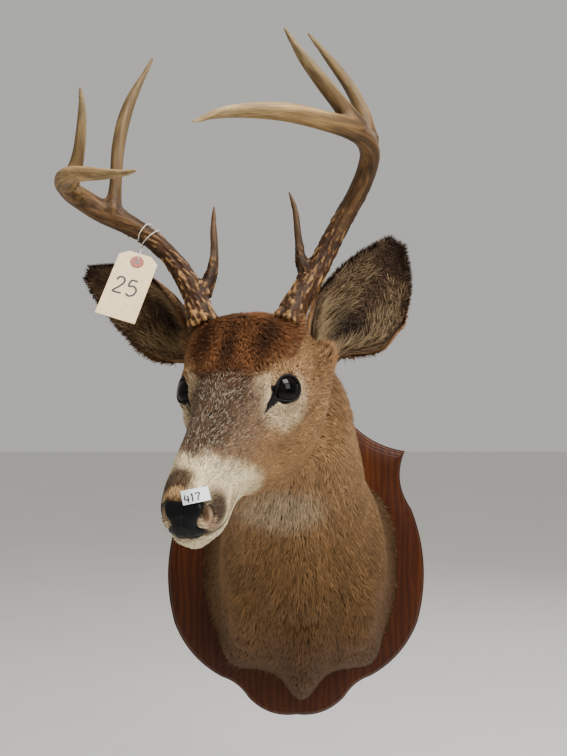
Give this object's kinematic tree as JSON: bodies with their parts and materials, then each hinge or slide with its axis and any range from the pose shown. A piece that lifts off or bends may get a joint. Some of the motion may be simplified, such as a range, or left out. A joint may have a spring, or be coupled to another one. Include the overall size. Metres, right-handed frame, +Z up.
{
  "type": "whitetail buck shoulder mount",
  "caption": "Life-size still shoulder mount of a whitetail buck with turned head and branched antlers, on a shaped wooden wall board, with a paper tag tied to one antler.",
  "frame": {"origin": "centre of the wall board's flat back face", "axes": "+Z up, +Y into the wall (the board's back face looks along it), the buck looks out along -Y and its left side is on +X"},
  "size_m": [0.4355, 0.5498, 0.806],
  "materials": {
    "walnut": "satin",
    "steel": "satin",
    "coat": "matte",
    "face_coat": "matte",
    "ear_coat": "matte",
    "nose_skin": "satin",
    "glass_eye": "gloss",
    "antler": "satin",
    "manila_card": "matte",
    "paper_label": "matte",
    "fibre": "satin",
    "cotton": "matte"
  },
  "bodies": {
    "root": {"wall_board": "walnut", "hanger_plate": "steel", "shoulders": "coat", "neck": "coat", "head": "face_coat", "muzzle": "face_coat", "lower_jaw": "face_coat", "nose_pad": "nose_skin", "eye_left": "glass_eye", "eye_right": "glass_eye", "ear_left": "ear_coat", "ear_right": "ear_coat", "muzzle_label": "paper_label", "tag": "manila_card", "tag_patch": "fibre", "tag_string": "cotton", "string_knot": "cotton", "antler_left_beam_lower": "antler", "antler_left_beam_middle": "antler", "antler_left_beam_end": "antler", "antler_left_brow_tine": "antler", "antler_left_tine_2": "antler", "antler_left_tine_3": "antler", "antler_right_beam_lower": "antler", "antler_right_beam_middle": "antler", "antler_right_beam_end": "antler", "antler_right_brow_tine": "antler", "antler_right_tine_2": "antler", "antler_right_tine_3": "antler"}
  },
  "joints": []
}
